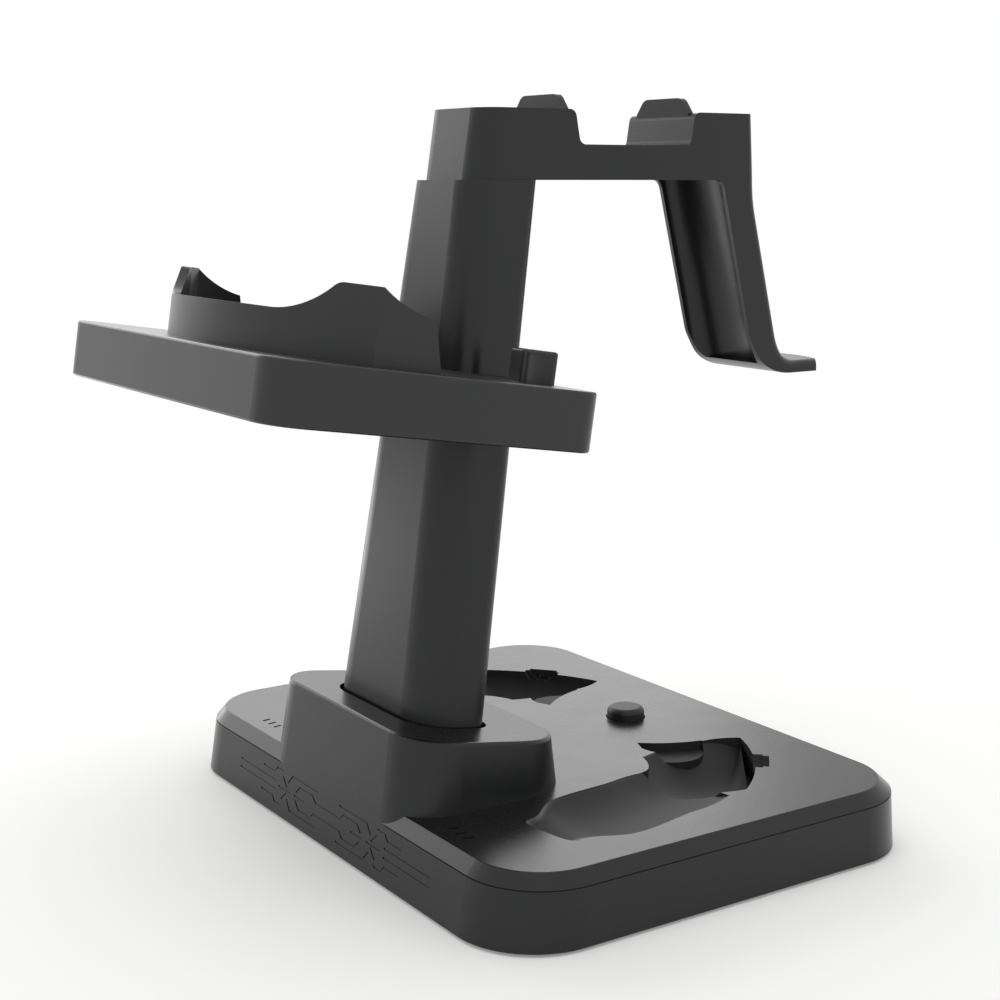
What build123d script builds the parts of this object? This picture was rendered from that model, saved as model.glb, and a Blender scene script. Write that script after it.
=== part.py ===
from build123d import *
from math import cos, radians, sin, sqrt, tan
import os

os.makedirs("parts", exist_ok=True)

# Charging stand for a headset and two hand controllers.
# X is across the stand, Y runs from the patterned front to the back, Z is up.
# The pieces are drawn about the middle of the base and then moved so that the origin is on the
# floor under the middle of the whole stand. Sizes are in millimetres.

# Base housing
base_width = 250.0
base_depth = 187.2
base_corner = 30.0
skirt_height = 20.9        # from the lower edge up to the bevel
deck_height = 25.6         # from the lower edge up to the deck
deck_bevel = 4.0           # how far the bevel runs in
side_draft = 1.0           # how far the skirt leans in at the bevel
back_foot = 1.7            # how much further the skirt runs out at the back, at its lower edge
back_shoulder = 1.2        # and at the bevel
seam_width = 0.5           # fine line moulded under the bevel
seam_depth = 0.35
lean = 8.9                 # degrees, front face, column and shelf
wall = 2.4                 # moulded walls of the base
edge_round = 0.6           # broken edges of the housings
fit = 0.3                  # clearance between pieces that are fitted together
smallest_corner = 0.6      # inner corners are never sharper than this

# Line pattern on the front face: points across and up from the lower edge
pattern_width = 0.7
pattern_depth = 0.3
pattern_halves = [
    [(74.0, 12.9), (43.0, 12.9)],
    [(74.0, 9.6), (43.0, 9.6)],
    [(54.0, 16.0), (44.5, 16.0), (42.2, 18.0), (37.5, 18.0)],
    [(54.0, 6.5), (44.5, 6.5), (42.5, 4.5), (37.5, 4.5)],
    [(40.0, 11.3), (30.5, 11.3)],
    [(37.0, 15.6), (33.6, 12.6)],
    [(37.0, 7.0), (33.6, 10.0)],
    [(32.4, 14.7), (29.2, 18.0), (8.5, 18.0)],
    [(32.4, 8.0), (29.2, 4.5), (8.5, 4.5)],
    [(26.6, 11.3), (18.5, 11.3)],
]
pattern_bridges = [
    [(25.4, 13.0), (22.4, 15.6), (12.5, 15.6), (10.0, 13.6)],
    [(25.4, 9.6), (22.4, 7.0), (12.5, 7.0), (10.0, 9.0)],
]

# Feet and bottom cover
foot_proud = 1.2
foot_diameter = 16.0
foot_pocket = 1.0
foot_inset_x = 47.0
foot_inset_y = 20.0
floor_plate = 2.2
floor_recess = 0.6
rib_height = 2.0
rib_thickness = 1.6
rib_lines_x = (34.0, 70.0)
rib_lines_y = (-64.0, 58.0)
rib_reach = 84.0

# Raised socket for the column
boss_front_height = 53.6   # front top edge above the lower edge of the base
boss_half_width = 56.0
boss_length = 67.0         # along the sloping top
boss_front_corner = 19.5
boss_back_corner = 20.5
boss_flare = 3.0           # how much wider and longer it is at its root
boss_root_height = 12.0    # where the flare ends, inside the base
boss_edge_round = 1.4
socket_depth = 30.0
socket_floor = 3.0
socket_mouth_depth = 6.0
socket_mouth_gap = 1.6     # dark gap round the foot of the column

# Column, measured in its own leaning frame
column_foot_half = 35.4
column_top_half = 22.1
column_foot_front = 14.3
column_top_front = 13.6
column_foot_back = 43.8
column_top_back = 43.8
column_foot_corner = 16.0
column_top_corner = 10.5
column_foot_rear_corner = 7.5
column_top_rear_corner = 4.0
column_length = 197.0      # along the lean, from the socket top to the column top
column_top_height = 245.6  # level cut, above the lower edge of the base
column_wall = 3.6
column_foot_plate = 4.0
column_top_spare = 6.0     # modelled past the level cut at the top
column_screw_spacing = 34.0

# Shelf carried by the column
shelf_half_width = 88.1
shelf_front = -87.1
shelf_back = 36.3
shelf_front_corner = 13.0
shelf_back_corner = 8.0
shelf_top = 128.7          # along the lean, above the socket top
shelf_thickness = 20.7
shelf_wall = 2.4
shelf_edge_round = 1.0
collar_half_width = 33.5
collar_back = 51.0
collar_corner = 6.0
collar_drop = 8.0          # its top lies this far below the shelf top
shelf_cover_thickness = 2.0
shelf_cover_recess = 0.4

# Cradle wall on the shelf
cradle_front = -75.0
cradle_arc_half = 66.0
cradle_arc_back = -52.3
cradle_corner_half = 73.0
cradle_corner_back = -45.6
cradle_end_half = 75.3
cradle_end_back = -21.5
cradle_thickness = 3.0
cradle_low = 14.4
cradle_low_half = 40.0
cradle_peak_half = 62.0
cradle_sweep = 28.0        # radius of the rise at both ends of the front wall
cradle_peak_round = 4.0
cradle_shoulder_round = 2.2
cradle_end_slant = 3.8     # how far the wall ends lean forward at their top
cradle_side_low = 16.5
cradle_side_arc = 40.0
cradle_side_start = -20.0

# Rear blocks on the shelf
block_outer = 60.0
block_inner = 52.2
block_front = 20.4
block_back = 34.6
block_height = 11.4
block_roof = 1.2
block_corner = 1.4
block_scoop_radius = 9.0
block_scoop_offset = 6.8
block_scoop_place = 27.4
block_edge_round = 1.0

# Head with the strap saddle and the hook, profile in the YZ plane
head_half_width = 20.5
head_front = 17.0          # setback along the slope, column frame
head_rise = 25.7           # its top above the level top of the column
head_wall = 2.4
head_front_corner = 9.6
head_rear_corner = 3.5
head_plug_depth = 28.0
beam_hollow_front = -8.0
beam_hollow_back = 68.0
head_cover_recess = 0.4
head_cover_thickness = 2.0
saddle_front = 6.0
saddle_front_foot = 8.4
saddle_back_foot = 61.0
saddle_back = 63.0
saddle_floor_rise = 13.0   # above the level top of the column
saddle_round = 3.0
saddle_back_round = 2.6
head_corner_round = 2.4
head_back = 93.2
tab_height = 5.8
tab_thickness = 2.4
tab_foot_half = 16.2
tab_top_half = 11.4
tab_corner = 4.6

hook_top_back = 94.7
hook_top_rise = 3.9        # the rises and drops of the hook count from the same level
hook_root_back = 95.3
hook_root_drop = 5.6
hook_inner_root = 74.7
hook_inner_start = 79.6
hook_inner_start_drop = 6.6
hook_inner_end = 93.4
hook_inner_end_drop = 60.6
hook_outer_start_drop = 15.4
hook_outer_start = 97.2
hook_outer_end = 108.8
hook_outer_end_drop = 61.0
hook_foot_drop = 73.6
hook_foot_thickness = 4.8
hook_outer_lead = (1.2, 3.9)     # first point of the outer bend, out and down from its start
hook_outer_bend = [(3.1, 4.9), (5.6, 2.2), (9.4, 0.5), (15.2, 0.0)]    # the rest, up from the foot
hook_inner_bend = [(23.1, 0.0), (16.6, 0.8), (11.9, 2.5), (7.8, 5.1)]
hook_inner_lead = [(4.6, 9.0), (2.1, 4.8)]    # last points of the inner bend, out and down from its end
hook_tip_overrun = 1.0           # past the middle of the tip, before the tip is cut
hook_tip_side = 131.3
hook_tip_middle = 137.0
hook_rim = 1.8
hook_channel_depth = 10.5
hook_channel_drop = 74.1

# Controller recesses in the deck, right-hand one
grip_end = (88.3, -53.6)   # lower end of the grip on the deck
grip_start = (77.6, 20.0)  # where the grip trough meets the head pocket
grip_stations = (5.0, 18.5, 34.5, 52.0)
grip_half_widths = (12.6, 19.6, 21.6, 20.5, 18.4)
grip_axis_rise = 44.0      # height of the trough's axis above the deck
cut_margin = 1.0           # how far the turned forms reach above the deck
bowl_axis = (68.5, 8.0)    # where the axis of the head bowl starts, it runs to the back
bowl_axis_rise = 25.0
bowl_stations = (12.0, 26.0, 64.0)
bowl_depths = (5.0, 8.6, 11.2, 11.5)
ridge_far = (47.8, 70.0)   # ends of the ridge between the bowl and the end slot
ridge_near = (91.5, 35.4)
ridge_drop = 1.0           # how far the ridge lies below the deck
ridge_sweep = (12.0, 12.5) # run and drop of the hollow that leads up to the ridge
slot_depth = 12.0
ledge_depth = 3.6
ledge_centre = (37.0, 42.5)
ledge_radius = 13.5
recess_wall = 2.0
plug_notch_centre = (73.0, 57.3)
plug_notch_turn = 48.5     # degrees from +X to the way it faces out
plug_notch_radius = 7.9
plug_notch_step = 6.6
plug_notch_rise = 1.9      # height of its centre above the deck
plug_notch_ring_depth = 1.6
plug_notch_depth = 4.0

# Push button behind the column
button_centre = (0.0, 49.0)
button_diameter = 15.4
button_proud = 4.5
button_gap = 0.5
button_round = 2.2
button_wall = 1.6
button_flange = 1.6
button_flange_thickness = 1.2
button_stem = 6.0

# Electronics
board_size = (44.0, 46.0)
board_centre = (0.0, 64.0)
board_height = 11.0
board_thickness = 1.6
board_post = 4.0           # how far the posts stand in from the board edges
board_post_diameter = 5.0
board_pin = 2.0
switch_size = 7.0
switch_height = 5.2
switch_floor = 1.0
plunger_size = 3.2
plunger_foot_gap = 0.4
button_travel = 1.5
inlet_width = 9.0
inlet_height = 3.3
inlet_length = 8.0
inlet_skin = 0.4
inlet_tongue = (6.4, 0.8)

# Indicator slots at the front of the deck
light_first = 68.0
light_pitch = 5.0
light_count = 3
light_row = -78.2
light_slot = (1.1, 3.4)
light_slant = 14.0
light_sink = 0.15          # the rods end this far below the deck
light_board_size = (18.0, 8.0)
light_board_thickness = 1.2
light_bar = (12.8, 5.0)
light_bar_thickness = 1.2
light_stud = 1.8
led_size = (1.6, 1.6, 0.8)

# Charging contacts behind the end wall of each recess
contact_block_size = (3.2, 9.0, 4.0)   # up, across, deep
contact_pin = 1.4
contact_pin_pitch = 4.4
contact_pin_level = 3.4    # below the deck
contact_pin_sink = 0.5     # how far the pins end inside the wall
contact_pin_root = 2.6     # how far they sit in the block
contact_block_sink = -1.0  # middle of the block against the pins, upwards

# Screws
screw_shank = 2.9
screw_length = 9.0
screw_head = 5.6
screw_head_height = 1.6
screw_seat = 1.2           # depth of the seat for the head
screw_post = 7.0
base_screw_inset = 30.0    # front and rear pairs, from the sides of the base
base_screw_front = 19.6    # and from its front and back
base_screw_back = 16.6
side_screw_inset = 12.0    # middle pair
side_screw_line = 12.0

shelf_screw_places = [(74.0, -72.0), (74.0, 24.0)]
head_screw_places = (14.0, 58.0)
head_fixing_drop = 15.0    # below the top of the column, along the lean
head_fixing_half = 9.0

# Ballast plate
ballast_size = (52.0, 84.0, 5.0)
ballast_centre = (0.0, -9.0)
ballast_frame = 3.0        # height of the rim round it on the bottom cover

# Levels that follow from the sizes above
base_bottom = foot_proud
deck_level = base_bottom + deck_height
half_width = base_width / 2
half_depth = base_depth / 2
base_screw_places = [(half_width - base_screw_inset, base_screw_front - half_depth),
                     (half_width - side_screw_inset, side_screw_line),
                     (half_width - base_screw_inset, half_depth - base_screw_back)]
lean_run = tan(radians(lean))
floor_bottom = base_bottom + floor_recess
floor_top = floor_bottom + floor_plate

# Levels of the head and the hook
head_top = column_top_height + head_rise
saddle_floor = column_top_height + saddle_floor_rise
hook_top_height = column_top_height + hook_top_rise
hook_root_height = column_top_height - hook_root_drop
hook_inner_start_height = column_top_height - hook_inner_start_drop
hook_inner_end_height = column_top_height - hook_inner_end_drop
hook_outer_start_height = column_top_height - hook_outer_start_drop
hook_outer_end_height = column_top_height - hook_outer_end_drop
hook_foot_top = column_top_height - hook_foot_drop
hook_foot_bottom = hook_foot_top - hook_foot_thickness
hook_channel_end = column_top_height - hook_channel_drop
head_fixing_height = column_length - head_fixing_drop

# Leaning frame: origin at the front top edge of the socket, z along the column
boss_top_level = base_bottom + boss_front_height
boss_front_y = -half_depth + boss_front_height * lean_run
column_axis = (0, sin(radians(lean)), cos(radians(lean)))
leaning = Plane(origin=(0, boss_front_y, boss_top_level), x_dir=(1, 0, 0), z_dir=column_axis)


def level(height):
    """Horizontal plane at a height above the floor."""
    return Plane.XY.offset(height)


def up(distance):
    """Plane square to the column, at a distance above the socket top."""
    return leaning.offset(distance)


def rounded_face(plane, half, front, back, front_corner, back_corner):
    """Rectangle with its own corner radius at the front and at the back."""
    front_corner = max(front_corner, smallest_corner)
    back_corner = max(back_corner, smallest_corner)
    with BuildSketch(plane) as sketch:
        with BuildLine():
            Line((-half + front_corner, front), (half - front_corner, front))
            JernArc((half - front_corner, front), (1, 0), front_corner, 90)
            Line((half, front + front_corner), (half, back - back_corner))
            JernArc((half, back - back_corner), (0, 1), back_corner, 90)
            Line((half - back_corner, back), (-half + back_corner, back))
            JernArc((-half + back_corner, back), (-1, 0), back_corner, 90)
            Line((-half, back - back_corner), (-half, front + front_corner))
            JernArc((-half, front + front_corner), (0, -1), front_corner, 90)
        make_face()
    return sketch.sketch


def mirrored(shape):
    """The same shape on the other side of the stand."""
    return mirror(shape, about=Plane.YZ)


def cylinder_at(x, y, bottom, diameter, height):
    """Upright cylinder standing on a level."""
    return Pos(x, y, bottom) * Cylinder(diameter / 2, height, align=(Align.CENTER, Align.CENTER, Align.MIN))


def base_section(height_in_base, inset):
    """Outline of the base at a height above its lower edge."""
    if height_in_base <= skirt_height:
        share = height_in_base / skirt_height
        bevel = 0.0
        tail = back_foot + (back_shoulder - back_foot) * share
    else:
        share = 1.0
        rise = (height_in_base - skirt_height) / (deck_height - skirt_height)
        bevel = deck_bevel * rise
        tail = back_shoulder * (1 - rise)
    inward = side_draft * share + bevel + inset
    front = -half_depth + skirt_height * share * lean_run + bevel + inset
    corner = base_corner - inward
    return rounded_face(level(base_bottom + height_in_base), half_width - inward, front,
                        half_depth - inward + tail, corner, corner)


def seam_line():
    """Fine line moulded round the base under its bevel, broken by the socket."""
    ring = extrude(base_section(skirt_height, -wall), amount=-seam_width)
    return ring - extrude(base_section(skirt_height, seam_depth), amount=-seam_width) - boss_body(0.0)


def front_lines():
    """Shallow line pattern on the leaning front face, the same on both halves."""
    up_slope = (0, sin(radians(lean)), cos(radians(lean)))
    outward = Vector(1, 0, 0).cross(Vector(*up_slope))
    face = Plane(origin=(0, -half_depth, base_bottom), x_dir=(1, 0, 0), z_dir=outward)
    stretch = 1 / cos(radians(lean))
    cutters = []
    for path in pattern_halves:
        for side in (-1, 1):
            cutters.extend(groove_bars([(side * x, height * stretch) for x, height in path]))
    for path in pattern_bridges:
        whole = path + [(-x, height) for x, height in reversed(path)]
        cutters.extend(groove_bars([(x, height * stretch) for x, height in whole]))
    return [face.location * cutter for cutter in cutters]


def groove_bars(points):
    """Round-ended bars along one path of the pattern, in the plane of the front face."""
    bars = []
    for start, end in zip(points, points[1:]):
        run = sqrt((end[0] - start[0]) ** 2 + (end[1] - start[1]) ** 2)
        bar = extrude(SlotCenterToCenter(run, pattern_width), amount=pattern_depth, both=True)
        turn = Vector(1, 0, 0).get_signed_angle(Vector(end[0] - start[0], end[1] - start[1], 0), Vector(0, 0, 1))
        bars.append(Pos((start[0] + end[0]) / 2, (start[1] + end[1]) / 2, 0) * Rot(0, 0, turn) * bar)
    return bars


def base_body(inset, top_drop):
    """Skirt and bevel of the base as one solid, inset for the inner side."""
    lower = loft([base_section(0.0, inset), base_section(skirt_height - top_drop * 0.5, inset)], ruled=True)
    upper = loft([base_section(skirt_height - top_drop * 0.5, inset),
                  base_section(deck_height - top_drop, inset)], ruled=True)
    return lower + upper


def boss_body(inset):
    """Raised socket, its front face in line with the front of the base."""
    root_front = -half_depth + boss_root_height * lean_run
    root_back = boss_front_y + boss_length * cos(radians(lean)) + boss_flare
    root = rounded_face(level(base_bottom + boss_root_height), boss_half_width + boss_flare - inset,
                        root_front + inset, root_back - inset,
                        boss_front_corner + boss_flare / 2 - inset, boss_back_corner + boss_flare / 2 - inset)
    top = rounded_face(up(-inset), boss_half_width - inset, inset, boss_length - inset,
                       boss_front_corner - inset, boss_back_corner - inset)
    return loft([root, top], ruled=True)


def column_section(distance, inset):
    """Outline of the column at a distance along the lean."""
    share = distance / column_length
    half = column_foot_half + (column_top_half - column_foot_half) * share - inset
    front = column_foot_front + (column_top_front - column_foot_front) * share + inset
    back = column_foot_back + (column_top_back - column_foot_back) * share - inset
    corner = column_foot_corner + (column_top_corner - column_foot_corner) * share - inset
    rear = column_foot_rear_corner + (column_top_rear_corner - column_foot_rear_corner) * share - inset
    return rounded_face(up(distance), half, front, back, corner, rear)


def foot_section(distance, grow):
    """Outline of the straight foot of the column, grown for the socket round it."""
    return rounded_face(up(distance), column_foot_half + grow, column_foot_front - grow,
                        column_foot_back + grow, column_foot_corner + grow, column_foot_rear_corner + grow)


def grip_trough(grow):
    """Scooped trough for the grip: a turned form that lies along the grip, its axis above the deck."""
    length = sqrt((grip_start[0] - grip_end[0]) ** 2 + (grip_start[1] - grip_end[1]) ** 2)
    radii = [sqrt(half ** 2 + grip_axis_rise ** 2) + grow for half in grip_half_widths]
    end = (length + grow, radii[-1])
    with BuildSketch(Plane.XY) as half_outline:
        with BuildLine():
            Spline((-grow, grip_axis_rise), (grip_stations[0], radii[0]), (grip_stations[1], radii[1]),
                   (grip_stations[2], radii[2]), (grip_stations[3], radii[3]), end,
                   tangents=[(0.2, 1), (1, -0.1)])
            Polyline(end, (length + grow, 0), (-grow, 0), (-grow, grip_axis_rise))
        make_face()
    turned = revolve(half_outline.sketch, axis=Axis.X)
    direction = Vector(grip_start[0] - grip_end[0], grip_start[1] - grip_end[1], 0)
    origin = (grip_end[0], grip_end[1], deck_level + grip_axis_rise)
    place = Plane(origin=origin, x_dir=direction, z_dir=(0, 0, 1))
    return (place.location * turned) & below_deck()


def below_deck():
    """Everything below the deck, and a little above it."""
    return upright_box(0, 0, 0, 2 * base_width, 2 * base_depth, deck_level + cut_margin)


def bowl_roll(grow):
    """Turned form of the head bowl, its axis above the deck, shallower where it meets the grip trough."""
    radii = [bowl_axis_rise + depth + grow for depth in bowl_depths]
    end = (bowl_stations[2], radii[3])
    with BuildSketch(Plane.XY) as half_outline:
        with BuildLine():
            Spline((0, radii[0]), (bowl_stations[0], radii[1]), (bowl_stations[1], radii[2]), end,
                   tangents=[(1, 0.25), (1, 0)])
            Polyline(end, (bowl_stations[2], 0), (0, 0), (0, radii[0]))
        make_face()
    origin = (bowl_axis[0], bowl_axis[1], deck_level + bowl_axis_rise)
    place = Plane(origin=origin, x_dir=(0, 1, 0), z_dir=(0, 0, 1))
    return (place.location * revolve(half_outline.sketch, axis=Axis.X)) & below_deck()


def ridge_frame():
    """Plane square to the ridge: X runs out through the end slot, Y is up."""
    along = Vector(ridge_near[0] - ridge_far[0], ridge_near[1] - ridge_far[1], 0)
    out = along.cross(Vector(0, 0, -1))
    middle = ((ridge_far[0] + ridge_near[0]) / 2, (ridge_far[1] + ridge_near[1]) / 2, deck_level)
    return Plane(origin=middle, x_dir=out, z_dir=along)


def inner_side(out):
    """Everything on the bowl's side of the ridge, moved outwards by a distance."""
    with BuildSketch(ridge_frame()) as sketch:
        with BuildLine():
            Polyline((out, -base_width), (out, base_width),
                     (-base_width, base_width), (-base_width, -base_width),
                     close=True)
        make_face()
    return extrude(sketch.sketch, amount=base_width, both=True)


def ridge_sweep_side():
    """The bowl's side of the ridge with a hollow sweep that leads up to it."""
    run, drop = ridge_sweep
    low = -ridge_drop - drop
    centre = (run ** 2 - drop ** 2) / (2 * drop)
    radius = centre + drop
    middle_x = -run + radius * sin(radians(40))
    middle_y = -ridge_drop + centre - radius * cos(radians(40))
    with BuildSketch(ridge_frame()) as sketch:
        with BuildLine():
            ThreePointArc((0, -ridge_drop), (middle_x, middle_y), (-run, low))
            Polyline((-run, low), (-base_width, low), (-base_width, cut_margin),
                     (0, cut_margin), (0, -ridge_drop))
        make_face()
    return extrude(sketch.sketch, amount=base_width, both=True)


def pocket_outline():
    """Head pocket of the recess on the deck, without the ledge."""
    with BuildSketch(level(deck_level)) as outline:
        with BuildLine():
            Line((42.2, 23.0), (42.6, 54.0))
            Spline((42.6, 54.0), (43.8, 62.0), ridge_far, tangents=[(0, 1), (0.6, 0.8)])
            ThreePointArc(ridge_far, (78.0, 51.2), (95.7, 30.0))
            Spline((95.7, 30.0), (96.6, 20.0), (98.2, 10.0), tangents=[(0.05, -1), (0.2, -1)])
            Line((98.2, 10.0), (58.6, 11.5))
            Spline((58.6, 11.5), (54.0, 18.4), (42.2, 23.0), tangents=[(-0.1, 1), (-1, 0.1)])
        make_face()
    return outline.sketch


def head_pocket():
    """Hollow for the head of the controller: round-bottomed bowl, ridge and a deeper slot at its end."""
    walls = extrude(pocket_outline(), amount=-slot_depth - 2 * recess_wall)
    slot = extrude(pocket_outline(), amount=-slot_depth) - inner_side(0.0)
    return (walls & bowl_roll(0.0) & ridge_sweep_side()) + slot


def pocket_bowl():
    """Outer side of the moulded bowl round the head pocket, a little over one wall outside it."""
    grow = recess_wall
    with BuildSketch(level(deck_level)) as outline:
        with BuildLine():
            Polyline((47.0 - grow / 8, 70.2 + grow), (43.4, 66.5 + grow), (42.2 - grow, 60.5 + grow),
                     (42.2 - grow, 23.0 - grow), (51.6, 19.0 - grow), (58.6 - grow, 11.5 - grow),
                     (98.2 + grow, 10.0 - grow), (97.0 + grow, 20.0), (95.7 + grow, 30.0 + grow / 3))
            ThreePointArc((95.7 + grow, 30.0 + grow / 3), (78.0 + grow * 0.7, 51.2 + grow * 0.85),
                          (47.0 - grow / 8, 70.2 + grow))
        make_face()
    block = extrude(outline.sketch, amount=-slot_depth - recess_wall)
    return (block & bowl_roll(recess_wall)) + (block - inner_side(-recess_wall))


def ledge_outline(grow):
    """Half-disc ledge with its pointed tip towards the middle of the stand."""
    with BuildSketch(level(deck_level)) as bounds:
        with BuildLine():
            Line((30.0, 31.6), (42.4, 26.5))
            Line((42.4, 26.5), (62.0, 24.0))
            Line((62.0, 24.0), (62.0, 54.7))
            Line((62.0, 54.7), (41.8, 54.7))
            ThreePointArc((41.8, 54.7), (37.4, 42.4), (30.0, 31.6))
        make_face()
    with BuildSketch(level(deck_level)) as disc:
        with Locations(ledge_centre):
            Circle(ledge_radius)
    outline = bounds.sketch & disc.sketch
    return offset(outline, amount=grow) if grow else outline


def plug_notch(grow):
    """Stepped half-round notch in the end wall, open at the deck."""
    facing = Vector(cos(radians(plug_notch_turn)), sin(radians(plug_notch_turn)), 0)
    mouth = Plane(origin=(plug_notch_centre[0], plug_notch_centre[1], deck_level + plug_notch_rise),
                  z_dir=facing, x_dir=(0, 0, 1))
    back_off = mouth.offset(-plug_notch_depth)
    ring = extrude(back_off * Circle(plug_notch_radius + grow),
                   amount=plug_notch_depth + plug_notch_ring_depth + grow)
    deep = extrude(back_off * Circle(plug_notch_step + grow), amount=plug_notch_depth * 2 + grow)
    return ring + deep


def recess_cut():
    """Everything that is hollowed out of the deck for the right-hand controller."""
    ledge = extrude(ledge_outline(0.0), amount=-deck_height)
    deep = head_pocket() - ledge + grip_trough(0.0)
    shallow = extrude(ledge_outline(0.0), amount=-ledge_depth)
    return deep + shallow + plug_notch(0.0)


def recess_shell():
    """The moulded bowl that hangs under the deck round the recess."""
    ledge = extrude(ledge_outline(recess_wall), amount=-ledge_depth - recess_wall)
    shell = pocket_bowl() + grip_trough(recess_wall) + ledge + plug_notch(recess_wall)
    return shell & extrude(base_section(0.0, wall / 2), amount=deck_height)


def screw_positions():
    """Six screw places, three on each side."""
    return [(side * x, y) for side in (-1, 1) for x, y in base_screw_places]


def light_positions(side):
    """Centres of the indicator slots on one side."""
    return [(side * (light_first + light_pitch * n), light_row) for n in range(light_count)]


def light_rods(side, grow, bottom, top):
    """One slanted rod for each indicator slot."""
    rods = []
    for x, y in light_positions(side):
        rod = Box(light_slot[0] + grow, light_slot[1] + grow, top - bottom,
                  align=(Align.CENTER, Align.CENTER, Align.MIN))
        rods.append(Pos(x, y, bottom) * Rot(0, 0, -side * light_slant) * rod)
    return rods


def make_top_cover():
    """Deck, skirt, socket and both controller bowls, moulded as one shell."""
    outer = base_body(0.0, 0.0) + boss_body(0.0)
    outer = fillet(boss_top_edges(outer), boss_edge_round)
    outer = fillet(deck_edges(outer), edge_round)
    cavity = base_body(wall, wall) + boss_body(wall) + extrude(base_section(0.0, wall), amount=-wall)
    sleeve = extrude(foot_section(-socket_depth - socket_floor, socket_mouth_gap + wall),
                     amount=socket_depth + socket_floor - boss_edge_round)
    added = [sleeve & outer]
    for x, y in screw_positions():
        added.append(cylinder_at(x, y, floor_top + fit, screw_post, deck_level - wall / 2 - floor_top - fit))
    for side in (-1, 1):
        for x in light_stud_places(side):
            added.append(cylinder_at(x, light_row, light_board_top(), light_stud,
                                     deck_level - wall / 2 - light_board_top()))
    removed = [extrude(foot_section(-socket_mouth_depth, socket_mouth_gap), amount=socket_mouth_depth * 2),
               extrude(foot_section(-socket_depth, fit), amount=socket_depth),
               cylinder_at(*button_centre, deck_level - wall * 2, button_diameter + 2 * button_gap, wall * 3),
               inlet_opening()]
    for x, y in screw_positions():
        removed.append(cylinder_at(x, y, floor_top, screw_shank + 2 * fit, screw_length + 2 * fit))
    for x in column_screw_sides():
        removed.append(leaning.location * cylinder_at(x, column_screw_line(), -socket_depth - 2 * socket_floor,
                                                      screw_shank + 2 * fit, 3 * socket_floor))
    for side in (-1, 1):
        removed.extend(light_rods(side, fit, deck_level - wall * 2, deck_level + wall))
    bowl = recess_shell()
    shell = (outer - cavity).fuse(*added).cut(*removed, seam_line(), *front_lines())
    shell = shell + [bowl, mirrored(bowl)]
    cut = recess_cut()
    shell = shell - [cut, mirrored(cut)]
    for side in (-1, 1):
        shell = shell - contact_pin_rods(side, contact_pin + 2 * fit, -2 * recess_wall, 3 * recess_wall)
    return Part() + shell


def column_screw_line():
    """Where the column screws lie, front to back, in the leaning frame."""
    return (column_foot_front + column_foot_back) / 2


def column_screw_sides():
    """Left and right places of the column screws."""
    return (-column_screw_spacing / 2, column_screw_spacing / 2)


def screw(head_depth):
    """One screw along +Z, its head below a face at Z = 0 by the depth of the seat."""
    head = cylinder_at(0, 0, head_depth - screw_head_height, screw_head, screw_head_height)
    head = head - cylinder_at(0, 0, head_depth - screw_head_height, screw_head / 4, screw_head_height / 2)
    shank = cylinder_at(0, 0, head_depth, screw_shank, screw_length)
    return head + chamfer(shank.edges().sort_by(Axis.Z)[-1], screw_shank / 5)


def screw_hole(head_depth):
    """Clearance hole and head seat for the same screw, from a face at Z = 0."""
    seat = cylinder_at(0, 0, -wall, screw_head + 2 * fit, wall + head_depth)
    return seat + cylinder_at(0, 0, 0, screw_shank + 2 * fit, head_depth + screw_length + fit)


def group_of(solids):
    """Several separate solids under one name."""
    return Compound([piece.solid() for piece in solids])


def light_board_top():
    """Upper face of the indicator boards."""
    return deck_level - wall - fit - light_bar_thickness - fit - led_size[2]


def light_stud_places(side):
    """Studs that hold one indicator board, left and right of its light guide."""
    middle = side * (light_first + light_pitch)
    reach = (light_bar[0] + light_board_size[0]) / 4 + fit
    return (middle - reach, middle + reach)


def contact_frame(side):
    """Frame on the outer side of one notch wall: X up, Z outwards."""
    facing = Vector(side * cos(radians(plug_notch_turn)), sin(radians(plug_notch_turn)), 0)
    reach = plug_notch_depth + recess_wall
    origin = (side * plug_notch_centre[0] + facing.X * reach, plug_notch_centre[1] + facing.Y * reach,
              deck_level - contact_pin_level)
    return Plane(origin=origin, z_dir=facing, x_dir=(0, 0, 1))


def contact_pin_rods(side, diameter, start, length):
    """Two rods side by side through one notch wall, measured from its outer side."""
    return [contact_frame(side).location * cylinder_at(0, across, start, diameter, length)
            for across in (-contact_pin_pitch / 2, contact_pin_pitch / 2)]


def boss_top_edges(body):
    """Edges round the sloping top of the socket."""
    return [edge for edge in body.edges()
            if abs(leaning.to_local_coords(edge @ 0.5).Z) < 0.01
            and abs(leaning.to_local_coords(edge @ 0).Z) < 0.01]


def deck_edges(body):
    """Edge between the deck and its bevel."""
    return [edge for edge in body.edges()
            if abs((edge @ 0.5).Z - deck_level) < 0.01 and abs((edge @ 0).Z - deck_level) < 0.01
            and (abs((edge @ 0.5).X) > boss_half_width * 1.1 or (edge @ 0.5).Y > half_depth / 2)]


def inlet_slot(back, width, height, length):
    """Rounded slot lying on the board, running forwards from a back face."""
    plane = Plane(origin=(0, back, board_top() + inlet_height / 2), z_dir=(0, -1, 0), x_dir=(1, 0, 0))
    return extrude(plane * SlotOverall(width, height), amount=length)


def inlet_opening():
    """Hole in the rear wall for the power inlet."""
    return inlet_slot(half_depth + wall, inlet_width + 2 * fit, inlet_height + 2 * fit, wall * 3)


def board_top():
    """Upper face of the main board."""
    return board_height + board_thickness


def board_posts():
    """Places of the four posts under the main board."""
    return [(board_centre[0] + x * (board_size[0] / 2 - board_post),
             board_centre[1] + y * (board_size[1] / 2 - board_post)) for x in (-1, 1) for y in (-1, 1)]


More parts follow.
